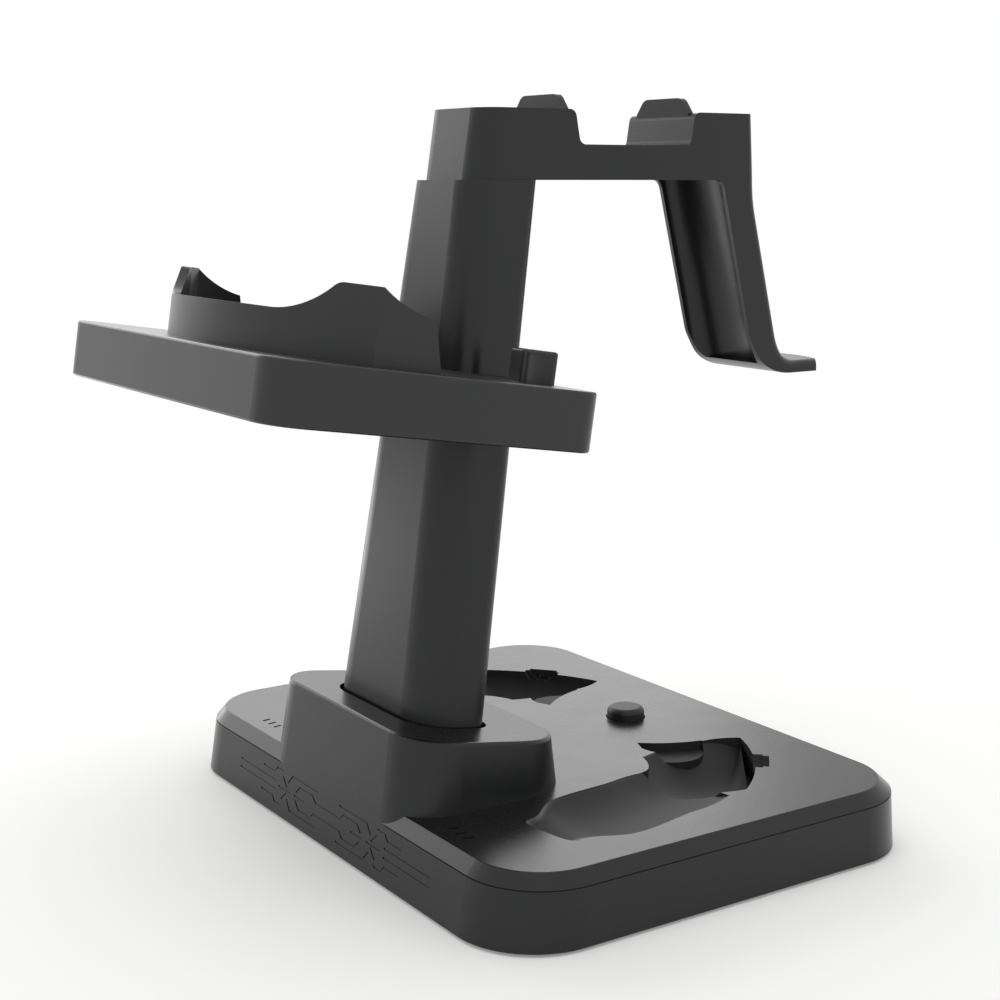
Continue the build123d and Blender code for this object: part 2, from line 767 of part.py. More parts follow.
def upright_box(x, y, bottom, width, depth, height):
    """Box centred on a place, standing on a level."""
    return Pos(x, y, bottom) * Box(width, depth, height, align=(Align.CENTER, Align.CENTER, Align.MIN))


def foot_places():
    """Four feet, one near each corner."""
    return [(x * (half_width - foot_inset_x), y * (half_depth - foot_inset_y)) for x in (-1, 1) for y in (-1, 1)]


def make_bottom_cover():
    """Flat cover inside the skirt, with ribs, board posts and foot pockets."""
    cover = extrude(base_section(floor_recess + floor_plate, wall + fit), amount=-floor_plate)
    rib_span = rib_lines_y[1] - rib_lines_y[0]
    rib_middle = (rib_lines_y[1] + rib_lines_y[0]) / 2
    for x in rib_lines_x:
        for side in (-1, 1):
            cover = cover + upright_box(side * x, rib_middle, floor_top, rib_thickness, rib_span, rib_height)
    for y in rib_lines_y:
        cover = cover + upright_box(0, y, floor_top, 2 * rib_reach, rib_thickness, rib_height)
    rim = upright_box(*ballast_centre, floor_top, ballast_size[0] + 2 * fit + 2 * rib_thickness,
                      ballast_size[1] + 2 * fit + 2 * rib_thickness, ballast_frame)
    rim = rim - upright_box(*ballast_centre, floor_top, ballast_size[0] + 2 * fit,
                            ballast_size[1] + 2 * fit, ballast_frame)
    cover = cover + rim
    for x, y in board_posts():
        cover = cover + cylinder_at(x, y, floor_top, board_post_diameter, board_height - floor_top)
        cover = cover + cylinder_at(x, y, floor_top, board_pin, board_top() + board_pin / 2 - floor_top)
    for x, y in foot_places():
        cover = cover - cylinder_at(x, y, base_bottom, foot_diameter + 2 * fit,
                                    floor_recess + foot_pocket)
    for x, y in screw_positions():
        cover = cover - Pos(x, y, floor_bottom) * screw_hole(screw_seat)
    return cover


def make_rubber_feet():
    """Four round pads in pockets of the bottom cover."""
    feet = []
    for x, y in foot_places():
        pad = cylinder_at(x, y, 0, foot_diameter, floor_bottom + foot_pocket)
        feet.append(fillet(pad.edges().sort_by(Axis.Z)[0], foot_proud / 3))
    return group_of(feet)


def make_base_screws():
    """Six screws up through the bottom cover."""
    return group_of(Pos(x, y, floor_bottom) * screw(screw_seat) for x, y in screw_positions())


def make_ballast_plate():
    """Flat steel weight in the rim of the bottom cover."""
    return upright_box(*ballast_centre, floor_top, *ballast_size)


def make_main_board():
    """Circuit board on four pinned posts."""
    board = upright_box(*board_centre, board_height, *board_size, board_thickness)
    for x, y in board_posts():
        board = board - cylinder_at(x, y, board_height, board_pin + 2 * fit, board_thickness)
    return board


def inlet_back():
    """Rear end of the power inlet, just inside the outer face of the skirt."""
    return half_depth - side_draft


def make_inlet_shell():
    """Metal shell of the power inlet, closed at its inner end."""
    outer = inlet_slot(inlet_back(), inlet_width, inlet_height, inlet_length)
    return outer - inlet_slot(inlet_back(), inlet_width - 2 * inlet_skin, inlet_height - 2 * inlet_skin,
                              inlet_length - inlet_skin)


def make_inlet_tongue():
    """Flat tongue that carries the contacts inside the inlet."""
    length = inlet_length - 2 * inlet_skin
    middle = inlet_back() - inlet_skin - length / 2
    level_of = board_top() + inlet_height / 2 - inlet_tongue[1] / 2
    return upright_box(0, middle, level_of, inlet_tongue[0], length, inlet_tongue[1])


def plunger_foot():
    """Lower end of the plunger at rest."""
    return board_top() + switch_floor + plunger_foot_gap + button_travel


def stem_foot():
    """Lower end of the button stem at rest."""
    return board_top() + switch_height + fit + button_travel


def make_switch_body():
    """Housing of the push switch with a square well for its plunger."""
    body = upright_box(*button_centre, board_top(), switch_size, switch_size, switch_height)
    well = upright_box(*button_centre, board_top() + switch_floor, plunger_size + 2 * fit,
                       plunger_size + 2 * fit, switch_height)
    return body - well


def make_switch_plunger():
    """Square plunger under the stem of the button."""
    return upright_box(*button_centre, plunger_foot(), plunger_size, plunger_size, stem_foot() - plunger_foot())


def make_button_cap():
    """Round cap with a flange under the deck and a stem in the middle."""
    top = deck_level + button_proud
    flange_top = deck_level - wall - fit
    foot = flange_top - button_flange_thickness
    cap = cylinder_at(*button_centre, foot, button_diameter, top - foot)
    cap = fillet(cap.edges().sort_by(Axis.Z)[-1], button_round)
    cap = cap + cylinder_at(*button_centre, foot, button_diameter + 2 * button_flange, button_flange_thickness)
    cap = cap - cylinder_at(*button_centre, foot, button_diameter - 2 * button_wall, top - button_wall - foot)
    return cap + cylinder_at(*button_centre, stem_foot(), button_stem, top - button_wall / 2 - stem_foot())


def make_light_guide(side):
    """Three slanted rods flush with the deck, joined by a bar under it."""
    bar_top = deck_level - wall - fit
    guide = upright_box(side * (light_first + light_pitch), light_row, bar_top - light_bar_thickness,
                        light_bar[0], light_bar[1], light_bar_thickness)
    for rod in light_rods(side, -fit, bar_top - light_bar_thickness / 2, deck_level - light_sink):
        guide = guide + rod
    return guide


def make_light_board(side):
    """Small board under one light guide."""
    return upright_box(side * (light_first + light_pitch), light_row, light_board_top() - light_board_thickness,
                       *light_board_size, light_board_thickness)


def make_led_chips():
    """One chip under each rod."""
    return group_of(upright_box(x, y, light_board_top(), *led_size)
                    for side in (-1, 1) for x, y in light_positions(side))


def make_contact_block(side):
    """Block that carries the charging pins, against the outer side of the notch wall."""
    block = Box(*contact_block_size, align=(Align.CENTER, Align.CENTER, Align.MIN))
    block = contact_frame(side).location * (Pos(contact_block_sink, 0, 0) * block)
    return block - contact_pin_rods(side, contact_pin, -recess_wall, recess_wall + contact_pin_root)


def make_contact_pins(side):
    """Two pins from the block through the notch wall."""
    rods = contact_pin_rods(side, contact_pin, contact_pin_sink - recess_wall,
                            recess_wall - contact_pin_sink + contact_pin_root)
    return group_of(rods)


def top_cut():
    """Everything above the level top of the column."""
    return upright_box(0, 0, base_bottom + column_top_height, base_width, 2 * base_depth, base_width)


def make_column_tube():
    """Tapering hollow column with a straight foot for the socket."""
    top = column_length + column_top_spare
    outer = loft([column_section(0.0, 0.0), column_section(top, 0.0)], ruled=True)
    outer = outer + extrude(foot_section(-socket_depth + fit, 0.0), amount=socket_depth - fit)
    inner = loft([column_section(0.0, column_wall), column_section(top, column_wall)], ruled=True)
    inner = inner + extrude(foot_section(-socket_depth + fit + column_foot_plate, -column_wall),
                            amount=socket_depth - fit - column_foot_plate)
    tube = outer - inner - top_cut()
    for x in column_screw_sides():
        tube = tube - leaning.location * cylinder_at(x, column_screw_line(), -socket_depth,
                                                     screw_shank + 2 * fit, 2 * column_foot_plate)
    for place in head_fixing_places():
        tube = tube - place.location * screw_hole(screw_seat)
    return tube


def make_column_screws():
    """Two screws up through the socket floor."""
    depth = -socket_depth - socket_floor
    return group_of(leaning.location * (Pos(x, column_screw_line(), depth) * screw(0.0))
                    for x in column_screw_sides())


def head_fixing_places():
    """Frames on the rear face of the column, Z pointing forwards into it."""
    share = head_fixing_height / column_length
    back = column_foot_back + (column_top_back - column_foot_back) * share
    places = []
    for x in (-head_fixing_half, head_fixing_half):
        origin = leaning.from_local_coords((x, back, head_fixing_height))
        forwards = (0, -cos(radians(lean)), sin(radians(lean)))
        places.append(Plane(origin=origin, z_dir=forwards, x_dir=(1, 0, 0)))
    return places


def make_head_fixing_screws():
    """Two screws through the back of the column into the plug of the head."""
    return group_of(place.location * screw(screw_seat) for place in head_fixing_places())


def column_plug(start, end, grow):
    """Piece of the column's own outer form, grown all round."""
    return loft([column_section(start, -grow), column_section(end, -grow)], ruled=True)


def cradle_footprint():
    """Cradle wall seen from above the shelf."""
    with BuildSketch(level(shelf_top)) as sketch:
        with BuildLine():
            ThreePointArc((-cradle_arc_half, cradle_arc_back), (0, cradle_front),
                          (cradle_arc_half, cradle_arc_back))
            Line((cradle_arc_half, cradle_arc_back), (cradle_corner_half, cradle_corner_back))
            Line((cradle_corner_half, cradle_corner_back), (cradle_end_half, cradle_end_back))
            Line((cradle_end_half, cradle_end_back), (-cradle_end_half, cradle_end_back))
            Line((-cradle_end_half, cradle_end_back), (-cradle_corner_half, cradle_corner_back))
            Line((-cradle_corner_half, cradle_corner_back), (-cradle_arc_half, cradle_arc_back))
        make_face()
    whole = sketch.sketch
    with BuildSketch(level(shelf_top)) as opening:
        with BuildLine():
            inner_end = cradle_end_half - cradle_thickness
            step = cradle_end_back - cradle_thickness * 1.5
            slope = (cradle_end_half - cradle_corner_half) / (cradle_end_back - cradle_corner_back)
            Polyline((-inner_end, cradle_end_back), (-inner_end + slope * (cradle_end_back - step), step),
                     (inner_end - slope * (cradle_end_back - step), step), (inner_end, cradle_end_back), close=True)
        make_face()
    return whole - offset(whole, amount=-cradle_thickness) - opening.sketch


def cradle_high():
    """Height of the cradle wall at its two peaks."""
    run = cradle_peak_half - cradle_low_half
    return cradle_low + cradle_sweep - sqrt(cradle_sweep ** 2 - run ** 2)


def on_sweep(centre_x, low, radius, run):
    """Point on a hollow sweep that starts level at its centre line."""
    return (centre_x + run, low + radius - sqrt(radius ** 2 - run ** 2))


def cradle_front_profile():
    """Height of the front wall, seen from the front: low in the middle, swept up at both sides."""
    plane = Plane(origin=(0, shelf_front * 2, shelf_top), x_dir=(1, 0, 0), z_dir=(0, -1, 0))
    wide = shelf_half_width
    run = cradle_peak_half - cradle_low_half
    right_end = on_sweep(cradle_low_half, cradle_low, cradle_sweep, run)
    right_middle = on_sweep(cradle_low_half, cradle_low, cradle_sweep, run * 0.6)
    with BuildSketch(plane) as sketch:
        with BuildLine():
            Polyline((-right_end[0], right_end[1]), (-wide, right_end[1]), (-wide, -1), (wide, -1),
                     (wide, right_end[1]), right_end)
            ThreePointArc(right_end, right_middle, (cradle_low_half, cradle_low))
            Line((cradle_low_half, cradle_low), (-cradle_low_half, cradle_low))
            ThreePointArc((-cradle_low_half, cradle_low), (-right_middle[0], right_middle[1]),
                          (-right_end[0], right_end[1]))
        make_face()
        peaks = [corner for corner in sketch.vertices() if abs(abs(corner.X) - cradle_peak_half) < 0.01]
        fillet(peaks, cradle_peak_round)
    return extrude(sketch.sketch, amount=4 * shelf_front)


def cradle_side_profile():
    """Height of the side walls, seen from the side: swept down towards the back."""
    plane = Plane(origin=(-shelf_half_width, 0, shelf_top), x_dir=(0, 1, 0), z_dir=(1, 0, 0))
    rise = cradle_high() - cradle_side_low
    run = sqrt(cradle_side_arc ** 2 - (cradle_side_arc - rise) ** 2)
    peak = on_sweep(cradle_side_start, cradle_side_low, cradle_side_arc, -run)
    middle = on_sweep(cradle_side_start, cradle_side_low, cradle_side_arc, -run * 0.6)
    with BuildSketch(plane) as sketch:
        with BuildLine():
            ThreePointArc(peak, middle, (cradle_side_start, cradle_side_low))
            Polyline((cradle_side_start, cradle_side_low), (0, cradle_side_low), (0, -1), (shelf_front, -1),
                     (shelf_front, peak[1]), peak)
        make_face()
        fillet(sketch.vertices().sort_by_distance(Vector(*plane.from_local_coords(peak)))[0], cradle_shoulder_round)
        slant = cradle_end_slant / cradle_side_low
        with BuildLine():
            Polyline((cradle_end_back + slant, -1),
                     (cradle_end_back - slant * shelf_half_width, shelf_half_width),
                     (shelf_half_width, shelf_half_width), (shelf_half_width, -1), close=True)
        make_face(mode=Mode.SUBTRACT)
    return extrude(sketch.sketch, amount=2 * shelf_half_width)


def cradle_wall():
    """Curved wall that holds the headset, in the frame of the shelf."""
    tall = extrude(cradle_footprint(), amount=cradle_high() * 2)
    wall_body = tall & cradle_front_profile() & cradle_side_profile()
    return wall_body


def rear_block():
    """Right-hand block behind the cradle, scooped out on its outer side."""
    width = block_outer - block_inner
    depth = block_back - block_front
    block = upright_box(block_inner + width / 2, block_front + depth / 2,
                        shelf_top - shelf_wall / 2, width, depth,
                        block_height + shelf_wall / 2)
    outer_front = block.edges().filter_by(Axis.Z).sort_by(Axis.X)[-2:].sort_by(Axis.Y)[0]
    block = fillet(outer_front, block_corner)
    scoop = cylinder_at(block_outer + block_scoop_offset, block_scoop_place, shelf_top, 2 * block_scoop_radius,
                        block_height - block_roof)
    block = block - scoop
    return fillet(block.edges().group_by(Axis.Z)[-1], block_edge_round)


def shelf_bottom():
    """Underside of the shelf along the lean."""
    return shelf_top - shelf_thickness


def shelf_floor():
    """Underside of the recessed shelf cover along the lean."""
    return shelf_bottom() + shelf_cover_recess


def shelf_screw_positions():
    """Four screw places under the shelf."""
    return [(side * x, y) for side in (-1, 1) for x, y in shelf_screw_places]


def shelf_outline(distance, inset):
    """Outline of the shelf in its own frame."""
    return rounded_face(level(distance), shelf_half_width - inset, shelf_front + inset, shelf_back - inset,
                        shelf_front_corner - inset, shelf_back_corner - inset)


def make_shelf_top():
    """Shelf with its cradle wall, two rear blocks and the collar round the column."""
    outer = extrude(shelf_outline(shelf_bottom(), 0.0), amount=shelf_thickness)
    outer = fillet(outer.edges().group_by(Axis.Z)[0] + outer.edges().group_by(Axis.Z)[-1], shelf_edge_round)
    cavity = extrude(shelf_outline(shelf_bottom() - shelf_wall, shelf_wall), amount=shelf_thickness)
    collar = extrude(rounded_face(level(shelf_bottom()), collar_half_width, shelf_back - collar_corner * 2,
                                  collar_back, collar_corner / 2, collar_corner),
                     amount=shelf_thickness - collar_drop)
    shell = outer - cavity + collar
    for x, y in shelf_screw_positions():
        shell = shell + cylinder_at(x, y, shelf_floor() + shelf_cover_thickness + fit, screw_post,
                                    shelf_thickness - shelf_cover_recess - shelf_cover_thickness - fit - shelf_wall / 2)
    for x, y in shelf_screw_positions():
        shell = shell - Pos(x, y, shelf_floor()) * screw_hole(screw_seat)
    blocks = rear_block()
    shell = shell + blocks + mirrored(blocks) + cradle_wall()
    shell = leaning.location * shell
    sleeve = column_plug(shelf_bottom(), shelf_top - shelf_wall / 2, shelf_wall + fit)
    sleeve = sleeve & (leaning.location * (outer + collar))
    shell = shell + sleeve
    return shell - column_plug(shelf_bottom() - shelf_wall, shelf_top + shelf_wall, fit)


def make_shelf_bottom_cover():
    """Flat cover under the shelf."""
    cover = extrude(shelf_outline(shelf_floor(), shelf_wall + fit), amount=shelf_cover_thickness)
    for x, y in shelf_screw_positions():
        cover = cover - Pos(x, y, shelf_floor()) * screw_hole(screw_seat)
    collar = extrude(rounded_face(level(shelf_bottom()), collar_half_width + fit,
                                  shelf_back - collar_corner * 2 - fit,
                                  collar_back, collar_corner / 2, collar_corner), amount=shelf_thickness)
    cover = leaning.location * (cover - collar)
    return cover - column_plug(shelf_bottom() - shelf_wall, shelf_top, shelf_wall + 2 * fit)


def make_shelf_screws():
    """Four screws through the shelf cover."""
    return group_of(leaning.location * (Pos(x, y, shelf_floor()) * screw(screw_seat))
                    for x, y in shelf_screw_positions())


def head_front_at(height):
    """Front face of the head at a height above the lower edge of the base; it leans with the column."""
    along = (height - boss_front_height + head_front * sin(radians(lean))) / cos(radians(lean))
    return boss_front_y + head_front * cos(radians(lean)) + along * sin(radians(lean))


def head_profile():
    """Side view of the head, beam and hook."""
    down = (hook_outer_end - hook_outer_start, hook_outer_end_height - hook_outer_start_height)
    rise = (hook_inner_start - hook_inner_end, hook_inner_start_height - hook_inner_end_height)
    outer_bend = [(hook_outer_end, hook_outer_end_height),
                  (hook_outer_end + hook_outer_lead[0], hook_outer_end_height - hook_outer_lead[1])]
    outer_bend += [(hook_outer_end + out, hook_foot_top + rest) for out, rest in hook_outer_bend]
    inner_bend = [(hook_inner_end + out, hook_foot_bottom + rest) for out, rest in hook_inner_bend]
    inner_bend += [(hook_inner_end + out, hook_inner_end_height - drop) for out, drop in hook_inner_lead]
    inner_bend.append((hook_inner_end, hook_inner_end_height))
    overrun = hook_tip_middle + hook_tip_overrun
    with BuildSketch(Plane.YZ.offset(-head_half_width)) as sketch:
        with Locations((0, base_bottom)):
            with BuildLine():
                Polyline((hook_inner_root, column_top_height),
                         (head_front_at(column_top_height), column_top_height),
                         (head_front_at(head_top), head_top), (saddle_front, head_top),
                         (saddle_front_foot, saddle_floor), (saddle_back_foot, saddle_floor),
                         (saddle_back, head_top), (head_back, head_top), (hook_top_back, hook_top_height))
                Spline((hook_top_back, hook_top_height), (hook_root_back, hook_root_height),
                       (hook_outer_start, hook_outer_start_height),
                       tangents=[(hook_top_back - head_back, hook_top_height - head_top), down])
                Line((hook_outer_start, hook_outer_start_height), (hook_outer_end, hook_outer_end_height))
                Spline(*outer_bend, tangents=[down, (1, 0)])
                Polyline(outer_bend[-1], (overrun, hook_foot_top), (overrun, hook_foot_bottom), inner_bend[0])
                Spline(*inner_bend, tangents=[(-1, 0), rise])
                Line((hook_inner_end, hook_inner_end_height), (hook_inner_start, hook_inner_start_height))
                Spline((hook_inner_start, hook_inner_start_height), (hook_inner_root, column_top_height),
                       tangents=[rise, (-1, 0)])
            make_face()
    return sketch.sketch


def foot_plan():
    """Plan outline that rounds the tip of the hook."""
    wide = head_half_width * 2
    with BuildSketch(level(0)) as sketch:
        with BuildLine():
            Polyline((-head_half_width, hook_tip_side), (-wide, hook_tip_side), (-wide, -half_depth),
                     (wide, -half_depth), (wide, hook_tip_side), (head_half_width, hook_tip_side))
            ThreePointArc((head_half_width, hook_tip_side), (0, hook_tip_middle), (-head_half_width, hook_tip_side))
        make_face()
    return extrude(sketch.sketch, amount=2 * head_top)


def saddle_tab(start):
    """Upright tab with rounded shoulders beside the saddle, from a front face backwards."""
    foot = head_top - tab_height
    with BuildSketch(Plane(origin=(0, start, base_bottom), x_dir=(-1, 0, 0), z_dir=(0, 1, 0))) as sketch:
        with BuildLine():
            Polyline((-tab_foot_half, foot), (-tab_foot_half, head_top), (-tab_top_half, head_top + tab_height),
                     (tab_top_half, head_top + tab_height), (tab_foot_half, head_top), (tab_foot_half, foot),
                     close=True)
        make_face()
        fillet(sketch.vertices().group_by(Axis.Y)[-1], tab_corner)
    return extrude(sketch.sketch, amount=tab_thickness)


def head_cavity():
    """Hollow of the beam, open below, and the hollow in the plug."""
    ceiling = base_bottom + head_top - head_wall
    low_ceiling = base_bottom + saddle_floor - head_wall
    under = base_bottom + column_top_height
    half = head_half_width - head_wall
    front = upright_box(0, (beam_hollow_front + saddle_front - head_wall) / 2, under - head_wall, 2 * half,
                        saddle_front - head_wall - beam_hollow_front, ceiling - under + head_wall)
    middle = upright_box(0, (beam_hollow_front + beam_hollow_back) / 2, under - head_wall, 2 * half,
                         beam_hollow_back - beam_hollow_front, low_ceiling - under + head_wall)
    rear_start = saddle_back + head_wall
    rear_end = head_back - head_wall
    rear_floor = base_bottom + hook_top_height + head_wall
    rear = upright_box(0, (rear_start + rear_end) / 2, rear_floor, 2 * half, rear_end - rear_start,
                       ceiling - rear_floor)
    link = upright_box(0, (beam_hollow_back + rear_start) / 2, rear_floor, 2 * half,
                       rear_start - beam_hollow_back + 2 * head_wall, low_ceiling - rear_floor)
    plug = extrude(column_section(column_length, column_wall + fit + head_wall), amount=-head_plug_depth * 2)
    plug = plug + extrude(column_section(column_length, column_wall + fit + head_wall), amount=head_plug_depth / 2)
    return front + middle + rear + link + plug


def hook_channel():
    """Hollow half-ellipse along the front of the hook, ended above its foot and under the beam."""
    run = hook_inner_end - hook_inner_start
    rise = hook_inner_end_height - hook_inner_start_height
    length = sqrt(run ** 2 + rise ** 2)
    along = (0, -run / length, -rise / length)
    plane = Plane(origin=(0, hook_inner_end, base_bottom + hook_inner_end_height), x_dir=(1, 0, 0), z_dir=along)
    face = plane * Ellipse(head_half_width - hook_rim, hook_channel_depth)
    prism = extrude(face, amount=2 * length) + extrude(face, amount=-length)
    bottom = base_bottom + hook_channel_end
    return prism & upright_box(0, hook_inner_end, bottom, base_width, base_depth,
                               base_bottom + column_top_height - bottom)


def cross_edge(body, y, height):
    """The edge that runs across the head at one point of its side view."""
    return [edge for edge in body.edges()
            if abs((edge @ 0.5).X) < 0.01 and abs((edge @ 0.5).Y - y) < 0.05
            and abs((edge @ 0.5).Z - height) < 0.05 and edge.length > head_half_width]


def side_edges(body):
    """Edges that lie in the two flat sides of the head."""
    return [edge for edge in body.edges() if abs(abs((edge @ 0.5).X) - head_half_width) < 0.05]


def top_back_corner():
    """What is taken off the top back corner of the head to round it."""
    corner = upright_box(0, head_back, head_top - head_corner_round, base_width, 2 * head_corner_round,
                         2 * head_corner_round)
    lean_back = (head_top - hook_top_height) / (hook_top_back - head_back)
    centre_y = head_back - head_corner_round * (1 - 0.5 / lean_back)
    roller = Rot(0, 90, 0) * Cylinder(head_corner_round, base_width)
    roller = Pos(0, centre_y, head_top - head_corner_round) * roller
    below = upright_box(0, centre_y - base_width / 2, 0, 2 * base_width, base_width, 2 * head_top)
    return corner - roller - below


def make_head_shell():
    """Saddle, tabs, beam and hook with the plug for the top of the column."""
    body = extrude(head_profile(), amount=2 * head_half_width) & foot_plan()
    rear = [edge for edge in side_edges(body)
            if ((edge @ 0.5).Y > head_back and (edge @ 0.5).Z > hook_outer_start_height)
            or ((edge @ 0.5).Y > hook_inner_end + 5 and (edge @ 0.5).Z > hook_foot_top - 0.05)]
    body = fillet(rear, head_rear_corner)
    front = [edge for edge in side_edges(body) if (edge @ 0.5).Y < head_front_at(head_top)
             and abs((edge @ 0).Z - (edge @ 1).Z) > head_half_width]
    body = fillet(front, head_front_corner)
    for y, height, radius in ((saddle_front, head_top, saddle_round), (saddle_back, head_top, saddle_round),
                              (saddle_front_foot, saddle_floor, saddle_round),
                              (saddle_back_foot, saddle_floor, saddle_back_round)):
        body = fillet(cross_edge(body, y, height), radius)
    body = body - top_back_corner()
    body = Pos(0, 0, base_bottom) * body
    plug = extrude(column_section(column_length, column_wall + fit), amount=-head_plug_depth)
    spare = extrude(column_section(column_length, column_wall + fit), amount=column_top_spare)
    plug = plug + (spare & top_fill())
    body = body + saddle_tab(saddle_front - tab_thickness) + saddle_tab(saddle_back) + plug
    body = body - head_cavity() - hook_channel()
    for y in head_screw_places:
        body = body + cylinder_at(0, y, head_cover_top() + fit, screw_post, head_post_height(y))
    for y in head_screw_places:
        body = body - Pos(0, y, head_cover_floor()) * screw_hole(screw_seat)
    for place in head_fixing_places():
        body = body - place.location * screw_hole(screw_seat)
    return body


def top_fill():
    """Slab from just below the level top of the column up into the head."""
    return upright_box(0, 0, base_bottom + column_top_height - column_top_spare, base_width, 2 * base_depth,
                       2 * column_top_spare)


def head_cover_floor():
    """Underside of the cover let into the beam."""
    return base_bottom + column_top_height + head_cover_recess


def head_cover_top():
    """Upper face of the same cover."""
    return head_cover_floor() + head_cover_thickness


def head_post_height(y):
    """Length of a screw post inside the beam."""
    low = base_bottom + saddle_floor - head_wall / 2
    return low - head_cover_top() - fit


def make_head_under_cover():
    """Flat cover let into the underside of the beam."""
    half = head_half_width - head_wall - fit
    front = beam_hollow_front + fit
    back = beam_hollow_back - fit
    cover = upright_box(0, (front + back) / 2, head_cover_floor(), 2 * half, back - front, head_cover_thickness)
    for y in head_screw_places:
        cover = cover - Pos(0, y, head_cover_floor()) * screw_hole(screw_seat)
    return cover


def make_head_cover_screws():
    """Two screws up through the cover of the beam."""
    return group_of(Pos(0, y, head_cover_floor()) * screw(screw_seat) for y in head_screw_places)


pieces = {
    "base_top_cover": make_top_cover(),
    "base_bottom_cover": make_bottom_cover(),
    "rubber_feet": make_rubber_feet(),
    "base_screws": make_base_screws(),
    "ballast_plate": make_ballast_plate(),
    "main_board": make_main_board(),
    "inlet_shell": make_inlet_shell(),
    "inlet_tongue": make_inlet_tongue(),
    "switch_body": make_switch_body(),
    "switch_plunger": make_switch_plunger(),
    "button_cap": make_button_cap(),
    "light_board_left": make_light_board(-1),
    "light_board_right": make_light_board(1),
    "light_guide_left": make_light_guide(-1),
    "light_guide_right": make_light_guide(1),
    "led_chips": make_led_chips(),
    "contact_block_left": make_contact_block(-1),
    "contact_block_right": make_contact_block(1),
    "contact_pins_left": make_contact_pins(-1),
    "contact_pins_right": make_contact_pins(1),
    "column_tube": make_column_tube(),
    "column_screws": make_column_screws(),
    "shelf_top": make_shelf_top(),
    "shelf_bottom_cover": make_shelf_bottom_cover(),
    "shelf_screws": make_shelf_screws(),
    "head_shell": make_head_shell(),
    "head_under_cover": make_head_under_cover(),
    "head_cover_screws": make_head_cover_screws(),
    "head_fixing_screws": make_head_fixing_screws(),
}

front_end = min(shape.bounding_box().min.Y for shape in pieces.values())
back_end = max(shape.bounding_box().max.Y for shape in pieces.values())
to_middle = Pos(0, -(front_end + back_end) / 2, 0)

for name, shape in pieces.items():
    export_step(to_middle * shape, "parts/" + name + ".step")
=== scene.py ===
"""Looks for the headset and controller charging stand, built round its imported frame."""

import math

import bmesh
import bpy
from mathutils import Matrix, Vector

bl_info = {
    "name": "Charging stand looks",
    "version": (1, 0, 0),
    "blender": (4, 5, 0),
    "location": "View3D > Sidebar > Charging stand",
    "description": "Finishes every piece of the charging stand and lights it on a plain floor",
    "category": "Object",
}

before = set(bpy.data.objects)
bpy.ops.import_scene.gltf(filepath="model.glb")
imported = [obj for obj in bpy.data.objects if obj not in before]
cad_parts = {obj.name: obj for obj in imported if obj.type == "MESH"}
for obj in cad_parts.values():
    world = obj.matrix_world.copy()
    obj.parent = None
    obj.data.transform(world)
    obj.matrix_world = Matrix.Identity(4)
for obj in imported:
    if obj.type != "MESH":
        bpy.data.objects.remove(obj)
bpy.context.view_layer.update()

IMAGE_SIZE = 1000
SENSOR_WIDTH = 36.0
CLIP_NEAR = 0.01
CLIP_FAR = 50.0

# Moulded black: lumps a metre of each pattern, and the strength of its bump
CLOUD_SCALE = 14.0
STREAK_SCALE = 60.0
SPECKLE_SCALE = 2200.0
GRAIN_STRENGTH = 0.22

# Block round both recesses, in metres, and the depths over which their matt finish sets in
RECESS_SIDE = 0.112
RECESS_FRONT = -0.072
RECESS_BACK = 0.088
RECESS_EDGE = 0.001
MATT_FROM = 0.0002
MATT_FULL = 0.0008

# Darker and lighter tone of each of the other finishes
SWITCH_TONES = (0.02, 0.02, 0.021), (0.035, 0.035, 0.036)
GUIDE_TONES = (0.003, 0.003, 0.0035), (0.007, 0.0075, 0.008)
CHIP_TONES = (0.75, 0.72, 0.45), (0.85, 0.85, 0.8)
BOARD_TONES = (0.006, 0.035, 0.016), (0.01, 0.06, 0.026)
TRACK_TONE = (0.03, 0.12, 0.05)
SCREW_TONES = (0.05, 0.05, 0.052), (0.12, 0.12, 0.125)
SHEET_TONES = (0.42, 0.42, 0.43), (0.58, 0.58, 0.59)
PIN_TONES = (0.62, 0.44, 0.16), (0.76, 0.58, 0.26)
RUBBER_TONES = (0.014, 0.014, 0.014), (0.03, 0.03, 0.029)

BLACK = (0.0, 0.0, 0.0, 1.0)
WHITE = (1.0, 1.0, 1.0, 1.0)

# Floor and lamps, in metres
FLOOR_HALF_SIZE = 6.0
FRONT_LAMP = {"place": (-0.5, -0.16, 0.06), "aim": (0.0, -0.1, 0.13), "size": (0.3, 0.1)}
SIDE_LAMP = {"place": (-1.45, 0.12, 0.78), "aim": (0.0, 0.0, 0.03), "size": (2.5, 0.72)}
TOP_LAMP = {"place": (0.1, -0.1, 1.5), "aim": (0.0, 0.0, 0.0), "size": (1.0, 1.0)}


